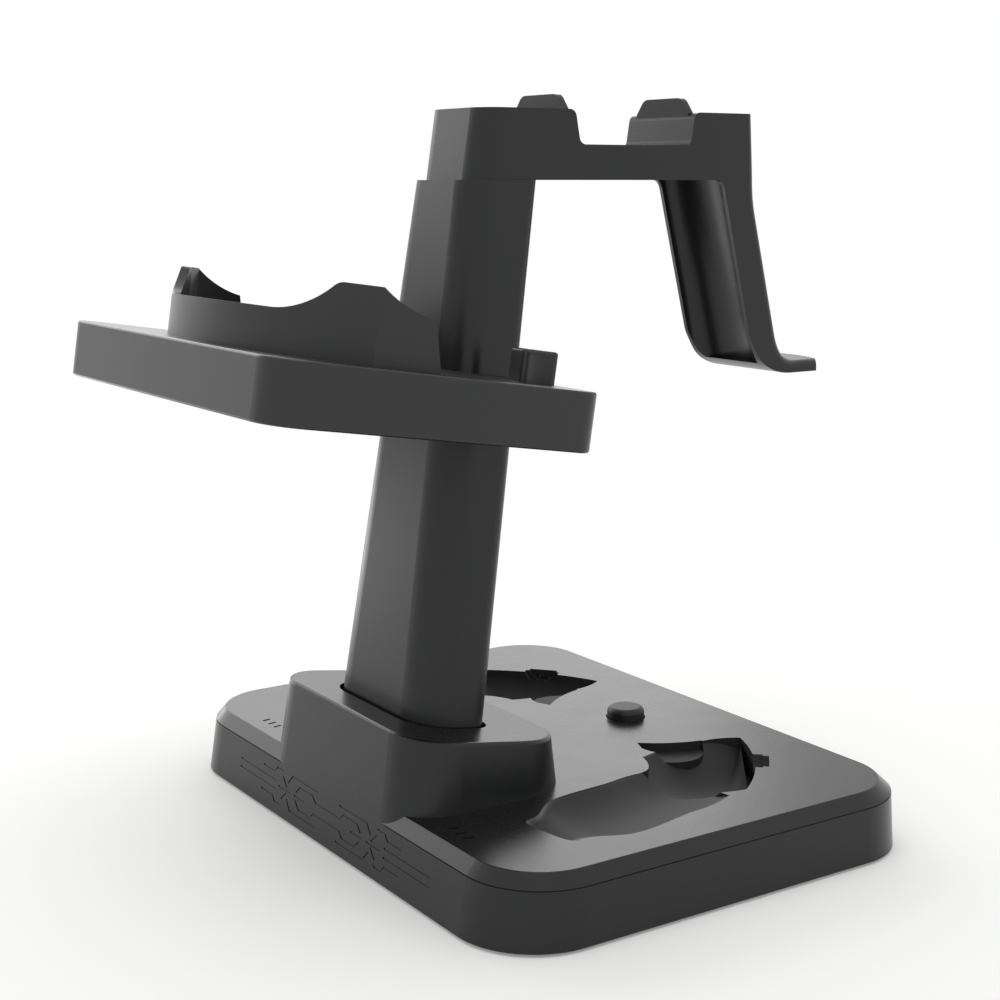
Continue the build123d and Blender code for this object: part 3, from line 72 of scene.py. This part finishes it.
class Wire:
    """One output socket; its operators add the Math nodes that work an expression out."""

    def __init__(self, nodes, socket):
        self.nodes = nodes
        self.socket = socket

    def math(self, operation, *values):
        """A Math node on these values, in their order."""
        return self.nodes.node("ShaderNodeMath", {"operation": operation}, dict(enumerate(values)))

    def __add__(self, other):
        return self.math("ADD", self, other)

    def __radd__(self, other):
        return self.math("ADD", other, self)

    def __sub__(self, other):
        return self.math("SUBTRACT", self, other)

    def __rsub__(self, other):
        return self.math("SUBTRACT", other, self)

    def __mul__(self, other):
        return self.math("MULTIPLY", self, other)

    def __rmul__(self, other):
        return self.math("MULTIPLY", other, self)

    def __truediv__(self, other):
        return self.math("DIVIDE", self, other)

    def __rtruediv__(self, other):
        return self.math("DIVIDE", other, self)

    def __abs__(self):
        return self.math("ABSOLUTE", self)

    def lower_of(self, other):
        """The smaller of the two."""
        return self.math("MINIMUM", self, other)

    def higher_of(self, other):
        """The larger of the two."""
        return self.math("MAXIMUM", self, other)

    def clamped(self):
        """Held between nought and one."""
        return self.lower_of(1.0).higher_of(0.0)

    def ramp(self, low, high):
        """Nought at low, one at high, straight between and level past them."""
        return ((self - low) / (high - low)).clamped()


class NodeTree:
    """The nodes of a material or a world, built anew up to its Surface."""

    def __init__(self, owner, output_kind):
        owner.use_nodes = True
        self.tree = owner.node_tree
        self.tree.nodes.clear()
        self.output = self.tree.nodes.new(output_kind)

    def fill(self, socket, value):
        """Give an input socket its value, or its link where the value is a wire."""
        if isinstance(value, Wire):
            self.tree.links.new(value.socket, socket)
        else:
            socket.default_value = value

    def node(self, kind, settings=None, sockets=None, output=0):
        """Any node by its type, its settings first, then the values or links of its sockets."""
        node = self.tree.nodes.new(kind)
        for name, value in (settings or {}).items():
            setattr(node, name, value)
        for key, value in (sockets or {}).items():
            self.fill(node.inputs[key], value)
        return Wire(self, node.outputs[output])

    def surface(self, wire):
        """Link the finished shader to the output."""
        self.fill(self.output.inputs["Surface"], wire)

    def place(self):
        """Object coordinates, in metres on the whole stand."""
        return self.node("ShaderNodeTexCoord", output="Object")

    def shown_rays(self):
        """One for the rays that show the background: camera, glossy and transmission rays."""
        seen = self.node("ShaderNodeLightPath", output="Is Camera Ray")
        mirrored = self.node("ShaderNodeLightPath", output="Is Glossy Ray")
        passed = self.node("ShaderNodeLightPath", output="Is Transmission Ray")
        return seen.higher_of(mirrored).higher_of(passed)


class Finish(NodeTree):
    """A material being built: its shader, and its patterns on Object coordinates."""

    def __init__(self, name):
        self.material = bpy.data.materials.new(name)
        super().__init__(self.material, "ShaderNodeOutputMaterial")
        self.shader = self.tree.nodes.new("ShaderNodeBsdfPrincipled")
        self.surface(Wire(self, self.shader.outputs["BSDF"]))

    def stretched(self, scale):
        """Object coordinates scaled along each axis."""
        return self.node("ShaderNodeMapping", sockets={"Vector": self.place(), "Scale": scale})

    def axes(self):
        """The three Object coordinates one by one."""
        return [self.node("ShaderNodeSeparateXYZ", sockets={"Vector": self.place()}, output=axis)
                for axis in ("X", "Y", "Z")]

    def noise(self, scale, detail=2.0, roughness=0.5, vector=None):
        """Soft noise as one number; scale is in lumps a metre."""
        sockets = {"Vector": vector or self.place(), "Scale": scale, "Detail": detail,
                   "Roughness": roughness}
        return self.node("ShaderNodeTexNoise", {"noise_dimensions": "3D"}, sockets)

    def cells(self, scale):
        """Small cells of a moulding's texture; scale is in cells a metre."""
        return self.node("ShaderNodeTexVoronoi", {"voronoi_dimensions": "3D", "feature": "F1"},
                         {"Vector": self.place(), "Scale": scale})

    def between(self, factor, first, second):
        """Two colours mixed by a factor; a colour is three numbers or a wire."""
        colours = [colour if isinstance(colour, Wire) else (*colour, 1.0) for colour in (first, second)]
        # A Mix node's colours are its sockets 6 and 7, and its mixed colour is output 2
        return self.node("ShaderNodeMix", {"data_type": "RGBA"},
                         {0: factor, 6: colours[0], 7: colours[1]}, output=2)

    def bump(self, height, strength, depth):
        """A pattern in the Normal socket; depth is its full height in metres."""
        bumped = self.node("ShaderNodeBump",
                           sockets={"Height": height, "Strength": strength, "Distance": depth})
        self.drive("Normal", bumped)

    def drive(self, name, wire):
        """Link one shader socket that changes over the surface."""
        self.fill(self.shader.inputs[name], wire)

    def set(self, name, value):
        """Set one shader socket that is the same all over."""
        self.fill(self.shader.inputs[name], value)


class MouldingSettings(bpy.types.PropertyGroup):
    """Satin black moulding of the housings."""

    dark: bpy.props.FloatVectorProperty(
        name="Dark tone", description="Darker of the two tones of the black moulding", subtype="COLOR",
        size=3, default=(0.0095, 0.0100, 0.0103), min=0.0, max=1.0)
    light: bpy.props.FloatVectorProperty(
        name="Light tone", description="Lighter of the two tones of the black moulding", subtype="COLOR",
        size=3, default=(0.0125, 0.0131, 0.0134), min=0.0, max=1.0)
    roughness: bpy.props.FloatProperty(
        name="Roughness", description="Middle roughness of the satin surface", default=0.27,
        min=0.05, max=1.0)
    grain_size: bpy.props.FloatProperty(
        name="Grain size", description="Size of one cell of the moulded grain", default=0.0004, unit="LENGTH")
    grain_depth: bpy.props.FloatProperty(
        name="Grain depth", description="Height of the moulded grain", default=0.000005, unit="LENGTH")
    gloss: bpy.props.FloatProperty(
        name="Gloss", description="Strength of the reflection seen straight on", default=0.36,
        min=0.0, max=1.0)
    deck_height: bpy.props.FloatProperty(
        name="Deck height", description="Level of the deck; the recesses below it are matt", default=0.0268,
        unit="LENGTH")
    recess_roughness: bpy.props.FloatProperty(
        name="Recess roughness", description="Roughness of the matt recess walls", default=0.62,
        min=0.05, max=1.0)


class LightSettings(bpy.types.PropertyGroup):
    """Lamps, world and floor."""

    front_power: bpy.props.FloatProperty(
        name="Front lamp", description="Power of the low soft lamp in front on the left", default=0.2)
    side_power: bpy.props.FloatProperty(
        name="Side lamp", description="Power of the large soft lamp on the left", default=10.0)
    top_power: bpy.props.FloatProperty(
        name="Top lamp", description="Power of the soft lamp above", default=3.0)
    world_level: bpy.props.FloatProperty(
        name="World level", description="Brightness of the plain surroundings", default=0.75)
    floor_tone: bpy.props.FloatVectorProperty(
        name="Floor tone", description="Colour of the plain floor and backdrop", subtype="COLOR",
        size=3, default=(0.86, 0.86, 0.85), min=0.0, max=1.0)
    floor_lift: bpy.props.FloatProperty(
        name="Floor lift", description="How far the floor is lifted towards white where it is seen",
        default=0.18)
    floor_reach: bpy.props.FloatProperty(
        name="Floor reach", description="Distance at which the floor starts to fade to plain white",
        default=0.3, unit="LENGTH")


class CameraSettings(bpy.types.PropertyGroup):
    """The camera at the photograph's viewing angle."""

    azimuth: bpy.props.FloatProperty(
        name="Turn", description="Turn of the camera round the upright", default=math.radians(56.46),
        subtype="ANGLE")
    elevation: bpy.props.FloatProperty(
        name="Tilt", description="Downward tilt of the camera", default=math.radians(10.51), subtype="ANGLE")
    place: bpy.props.FloatVectorProperty(
        name="Place", description="Where the camera stands", size=3, default=(0.5464, -0.3674, 0.2466),
        subtype="TRANSLATION", unit="LENGTH")
    focal_pixels: bpy.props.FloatProperty(
        name="Focal length in pixels", description="Focal length at an image 1000 pixels wide",
        default=1722.0)


def scene_settings():
    """The three groups of settings on the scene."""
    scene = bpy.context.scene
    return scene.stand_moulding, scene.stand_light, scene.stand_camera


def dress(finish, *names):
    """Give CAD nodes a finish in place of their plain one."""
    for name in names:
        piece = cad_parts[name]
        if not piece.material_slots:
            piece.data.materials.append(finish.material)
        for slot in piece.material_slots:
            slot.material = finish.material


def about(middle, pattern, spread):
    """A value that a pattern moves to either side of a middle one."""
    return middle + (pattern - 0.5) * spread


def recess_share(finish, deck_height):
    """One on the recess walls under the deck, nought on the deck and on the outer walls."""
    across, back, up = finish.axes()
    below = (deck_height - up).ramp(MATT_FROM, MATT_FULL)
    beside = abs(across).ramp(RECESS_SIDE, RECESS_SIDE - RECESS_EDGE)
    before = back.ramp(RECESS_FRONT, RECESS_FRONT + RECESS_EDGE)
    behind = back.ramp(RECESS_BACK, RECESS_BACK - RECESS_EDGE)
    return below * (beside * before * behind)


def moulded_black(name, roughness_shift=0.0, gloss_shift=0.0, matt_recess=False):
    """Satin black moulding: two close tones, uneven gloss and a fine spark-eroded grain."""
    moulding, _, _ = scene_settings()
    finish = Finish(name)
    clouds = finish.noise(CLOUD_SCALE, detail=3.0, roughness=0.55)
    speckle = finish.noise(SPECKLE_SCALE, detail=2.0, roughness=0.6)
    streaks = finish.noise(STREAK_SCALE, detail=4.0, roughness=0.6,
                           vector=finish.stretched((1.0, 1.0, 0.35)))
    tone = (clouds * 0.7 + speckle * 0.3).clamped()
    finish.drive("Base Color", finish.between(tone, tuple(moulding.dark), tuple(moulding.light)))
    rough = about(moulding.roughness + roughness_shift, streaks, spread=0.05)
    rough = about(rough, clouds, spread=0.04)
    if matt_recess:
        share = recess_share(finish, moulding.deck_height)
        rough = rough + share * (moulding.recess_roughness - moulding.roughness)
    finish.drive("Roughness", rough.clamped())
    grain = finish.cells(1.0 / moulding.grain_size) * 0.6 + speckle * 0.4
    finish.bump(grain, GRAIN_STRENGTH, moulding.grain_depth)
    finish.set("Specular IOR Level", moulding.gloss + gloss_shift)
    return finish


def switch_nylon():
    """Dull black nylon of the switch, the contact blocks and the inlet's tongue."""
    finish = Finish("switch_nylon")
    clouds = finish.noise(300.0, detail=3.0)
    finish.drive("Base Color", finish.between(clouds, *SWITCH_TONES))
    finish.drive("Roughness", about(0.5, clouds, spread=0.2))
    finish.bump(finish.noise(3000.0), strength=0.3, depth=0.00001)
    return finish


def smoked_light_guide():
    """Nearly black smoked rods that lie flush in the deck."""
    finish = Finish("smoked_light_guide")
    drift = finish.noise(900.0, detail=3.0)
    finish.drive("Base Color", finish.between(drift, *GUIDE_TONES))
    finish.drive("Roughness", about(0.5, drift, spread=0.12))
    finish.set("Specular IOR Level", 0.08)
    finish.bump(finish.noise(2500.0), strength=0.2, depth=0.000008)
    return finish


def indicator_chip():
    """Pale yellow filling of the indicator lights."""
    finish = Finish("indicator_chip")
    cells = finish.cells(1500.0)
    finish.drive("Base Color", finish.between(cells.clamped(), *CHIP_TONES))
    finish.drive("Roughness", 0.3 + cells * 0.2)
    finish.bump(cells, strength=0.2, depth=0.00002)
    return finish


def solder_mask():
    """Green lacquer of the boards, with lighter tracks raised in it."""
    finish = Finish("solder_mask")
    weave = finish.noise(1600.0)
    tracks = finish.node("ShaderNodeTexBrick", {"offset": 0.5, "squash": 1.0}, {
        "Vector": finish.place(), "Scale": 260.0, "Mortar Size": 0.06, "Brick Width": 1.4,
        "Row Height": 0.5, "Color1": BLACK, "Color2": BLACK, "Mortar": WHITE})
    green = finish.between(weave, *BOARD_TONES)
    finish.drive("Base Color", finish.between(tracks, green, TRACK_TONE))
    finish.drive("Roughness", 0.28 + weave * 0.12)
    finish.bump(tracks, strength=0.3, depth=0.00003)
    return finish


def blackened_screw_steel():
    """Blackened steel with the fine rings that turning leaves."""
    finish = Finish("blackened_screw_steel")
    turned = finish.noise(700.0, detail=3.0, vector=finish.stretched((1.0, 1.0, 12.0)))
    finish.drive("Base Color", finish.between(turned, *SCREW_TONES))
    finish.drive("Roughness", 0.3 + turned * 0.2)
    finish.set("Metallic", 1.0)
    finish.bump(turned, strength=0.3, depth=0.00002)
    return finish


def rolled_steel_sheet():
    """Bare steel sheet with its rolling marks and uneven shine."""
    finish = Finish("rolled_steel_sheet")
    rolled = finish.noise(240.0, detail=4.0, roughness=0.65, vector=finish.stretched((1.0, 14.0, 1.0)))
    spots = finish.noise(35.0, detail=3.0)
    finish.drive("Base Color", finish.between(rolled, *SHEET_TONES))
    finish.drive("Roughness", 0.3 + spots * 0.25)
    finish.set("Metallic", 1.0)
    finish.bump(rolled, strength=0.3, depth=0.00002)
    return finish


def plated_contact_brass():
    """Drawn brass of the charging pins."""
    finish = Finish("plated_contact_brass")
    drawn = finish.noise(1500.0)
    finish.drive("Base Color", finish.between(drawn, *PIN_TONES))
    finish.drive("Roughness", 0.22 + drawn * 0.12)
    finish.set("Metallic", 1.0)
    finish.bump(drawn, strength=0.2, depth=0.00001)
    return finish


def foot_rubber():
    """Dull rubber of the feet, with a trace of dust."""
    finish = Finish("foot_rubber")
    dust = finish.noise(180.0, detail=5.0, roughness=0.65)
    finish.drive("Base Color", finish.between(dust, *RUBBER_TONES))
    finish.drive("Roughness", about(0.78, dust, spread=0.2))
    finish.bump(finish.noise(2600.0, detail=3.0), strength=0.5, depth=0.00003)
    return finish


class STAND_OT_base(bpy.types.Operator):
    """Finish the deck, the socket and the bottom cover"""

    bl_idname = "stand.base"
    bl_label = "Base housing"

    def execute(self, context):
        dress(moulded_black("base_moulding", matt_recess=True), "base_top_cover")
        dress(moulded_black("base_underside", roughness_shift=0.14), "base_bottom_cover")
        return {"FINISHED"}


class STAND_OT_column(bpy.types.Operator):
    """Finish the leaning column"""

    bl_idname = "stand.column"
    bl_label = "Column"

    def execute(self, context):
        dress(moulded_black("column_moulding", roughness_shift=0.02), "column_tube")
        return {"FINISHED"}


class STAND_OT_shelf(bpy.types.Operator):
    """Finish the shelf, its cradle wall and its cover"""

    bl_idname = "stand.shelf"
    bl_label = "Shelf"

    def execute(self, context):
        dress(moulded_black("shelf_moulding", roughness_shift=0.02, gloss_shift=0.12), "shelf_top")
        dress(moulded_black("shelf_underside", roughness_shift=0.12), "shelf_bottom_cover")
        return {"FINISHED"}


class STAND_OT_head(bpy.types.Operator):
    """Finish the saddle, its tabs and the hook"""

    bl_idname = "stand.head"
    bl_label = "Head and hook"

    def execute(self, context):
        dress(moulded_black("head_moulding"), "head_shell")
        dress(moulded_black("head_underside", roughness_shift=0.12), "head_under_cover")
        return {"FINISHED"}


class STAND_OT_button(bpy.types.Operator):
    """Finish the push button, the switch under it and the other small nylon pieces"""

    bl_idname = "stand.button"
    bl_label = "Push button"

    def execute(self, context):
        dress(moulded_black("button_moulding", roughness_shift=0.18), "button_cap")
        dress(switch_nylon(), "switch_body", "switch_plunger", "contact_block_left",
              "contact_block_right", "inlet_tongue")
        return {"FINISHED"}


class STAND_OT_lights(bpy.types.Operator):
    """Finish the indicator rods, their chips and all the boards"""

    bl_idname = "stand.lights"
    bl_label = "Indicator lights"

    def execute(self, context):
        dress(smoked_light_guide(), "light_guide_left", "light_guide_right")
        dress(indicator_chip(), "led_chips")
        dress(solder_mask(), "main_board", "light_board_left", "light_board_right")
        return {"FINISHED"}


class STAND_OT_metal(bpy.types.Operator):
    """Finish the screws, the ballast, the inlet and the contact pins"""

    bl_idname = "stand.metal"
    bl_label = "Metal parts"

    def execute(self, context):
        dress(blackened_screw_steel(), "base_screws", "column_screws", "shelf_screws",
              "head_cover_screws", "head_fixing_screws")
        dress(rolled_steel_sheet(), "ballast_plate", "inlet_shell")
        dress(plated_contact_brass(), "contact_pins_left", "contact_pins_right")
        return {"FINISHED"}


class STAND_OT_feet(bpy.types.Operator):
    """Finish the rubber feet"""

    bl_idname = "stand.feet"
    bl_label = "Rubber feet"

    def execute(self, context):
        dress(foot_rubber(), "rubber_feet")
        return {"FINISHED"}


def soft_lamp(name, power, place, aim, size):
    """A soft area lamp of a width and a height, aimed at a point."""
    data = bpy.data.lights.new(name, "AREA")
    data.shape = "RECTANGLE"
    data.size, data.size_y = size
    data.energy = power
    lamp = bpy.data.objects.new(name, data)
    bpy.context.scene.collection.objects.link(lamp)
    lamp.location = place
    lamp.rotation_euler = (Vector(aim) - Vector(place)).to_track_quat("-Z", "Y").to_euler()


def pale_floor_material(tone, lift, reach):
    """Plain pale floor: matt with the stand's shadow near it, plain white further out."""
    material = bpy.data.materials.new("pale_floor")
    nodes = NodeTree(material, "ShaderNodeOutputMaterial")
    material.cycles.emission_sampling = "NONE"
    shown = nodes.shown_rays()
    matt = nodes.node("ShaderNodeBsdfDiffuse", sockets={"Color": (*tone, 1.0)})
    glow = nodes.node("ShaderNodeEmission", sockets={"Strength": shown * lift})
    near = nodes.node("ShaderNodeAddShader", sockets={0: matt, 1: glow})
    white = nodes.node("ShaderNodeEmission")
    distance = nodes.node("ShaderNodeVectorMath", {"operation": "LENGTH"}, {0: nodes.place()}, "Value")
    fade = distance.ramp(reach, reach * 2.0) * shown
    nodes.surface(nodes.node("ShaderNodeMixShader", sockets={0: fade, 1: near, 2: white}))
    return material


def plain_world(level):
    """White surroundings where they are seen, and a plain level of light on the stand."""
    world = bpy.data.worlds.new("plain_surroundings")
    nodes = NodeTree(world, "ShaderNodeOutputWorld")
    world.cycles.sampling_method = "NONE"
    strength = nodes.shown_rays() * (1.0 - level) + level
    nodes.surface(nodes.node("ShaderNodeBackground", sockets={"Color": WHITE, "Strength": strength}))
    return world


def plain_floor(light):
    """One large sheet under the stand."""
    mesh = bpy.data.meshes.new("floor")
    sheet = bmesh.new()
    bmesh.ops.create_grid(sheet, x_segments=1, y_segments=1, size=FLOOR_HALF_SIZE)
    sheet.to_mesh(mesh)
    sheet.free()
    floor = bpy.data.objects.new("floor", mesh)
    bpy.context.scene.collection.objects.link(floor)
    mesh.materials.append(pale_floor_material(tuple(light.floor_tone), light.floor_lift,
                                              light.floor_reach))


def photograph_camera(view):
    """The camera that sees the stand as the photograph does."""
    data = bpy.data.cameras.new("photograph_view")
    data.sensor_fit = "HORIZONTAL"
    data.sensor_width = SENSOR_WIDTH
    data.lens = view.focal_pixels / IMAGE_SIZE * SENSOR_WIDTH
    data.clip_start = CLIP_NEAR
    data.clip_end = CLIP_FAR
    camera = bpy.data.objects.new("photograph_view", data)
    bpy.context.scene.collection.objects.link(camera)
    camera.location = view.place
    camera.rotation_euler = (math.pi / 2 - view.elevation, 0.0, view.azimuth)
    return camera


class STAND_OT_stage(bpy.types.Operator):
    """Floor, world, lamps and the camera"""

    bl_idname = "stand.stage"
    bl_label = "Stage"

    def execute(self, context):
        _, light, view = scene_settings()
        scene = context.scene
        scene.view_settings.view_transform = "Standard"
        scene.world = plain_world(light.world_level)
        plain_floor(light)
        soft_lamp("front_lamp", light.front_power, **FRONT_LAMP)
        soft_lamp("side_lamp", light.side_power, **SIDE_LAMP)
        soft_lamp("top_lamp", light.top_power, **TOP_LAMP)
        scene.camera = photograph_camera(view)
        return {"FINISHED"}


OPERATORS = (STAND_OT_stage, STAND_OT_base, STAND_OT_column, STAND_OT_shelf, STAND_OT_head,
             STAND_OT_button, STAND_OT_lights, STAND_OT_metal, STAND_OT_feet)


class STAND_PT_looks(bpy.types.Panel):
    """Lists the pieces of the stand and their settings"""

    bl_label = "Charging stand"
    bl_idname = "STAND_PT_looks"
    bl_space_type = "VIEW_3D"
    bl_region_type = "UI"
    bl_category = "Charging stand"

    def draw(self, context):
        layout = self.layout
        for group in scene_settings():
            box = layout.box()
            for name in group.__annotations__:
                box.prop(group, name)
        for operator in OPERATORS:
            layout.operator(operator.bl_idname)


CLASSES = (MouldingSettings, LightSettings, CameraSettings, *OPERATORS, STAND_PT_looks)


def register():
    for item in CLASSES:
        bpy.utils.register_class(item)
    bpy.types.Scene.stand_moulding = bpy.props.PointerProperty(type=MouldingSettings)
    bpy.types.Scene.stand_light = bpy.props.PointerProperty(type=LightSettings)
    bpy.types.Scene.stand_camera = bpy.props.PointerProperty(type=CameraSettings)


def unregister():
    del bpy.types.Scene.stand_camera
    del bpy.types.Scene.stand_light
    del bpy.types.Scene.stand_moulding
    for item in reversed(CLASSES):
        bpy.utils.unregister_class(item)


def main():
    register()
    bpy.ops.stand.stage()
    bpy.ops.stand.base()
    bpy.ops.stand.column()
    bpy.ops.stand.shelf()
    bpy.ops.stand.head()
    bpy.ops.stand.button()
    bpy.ops.stand.lights()
    bpy.ops.stand.metal()
    bpy.ops.stand.feet()


if __name__ == "__main__":
    main()
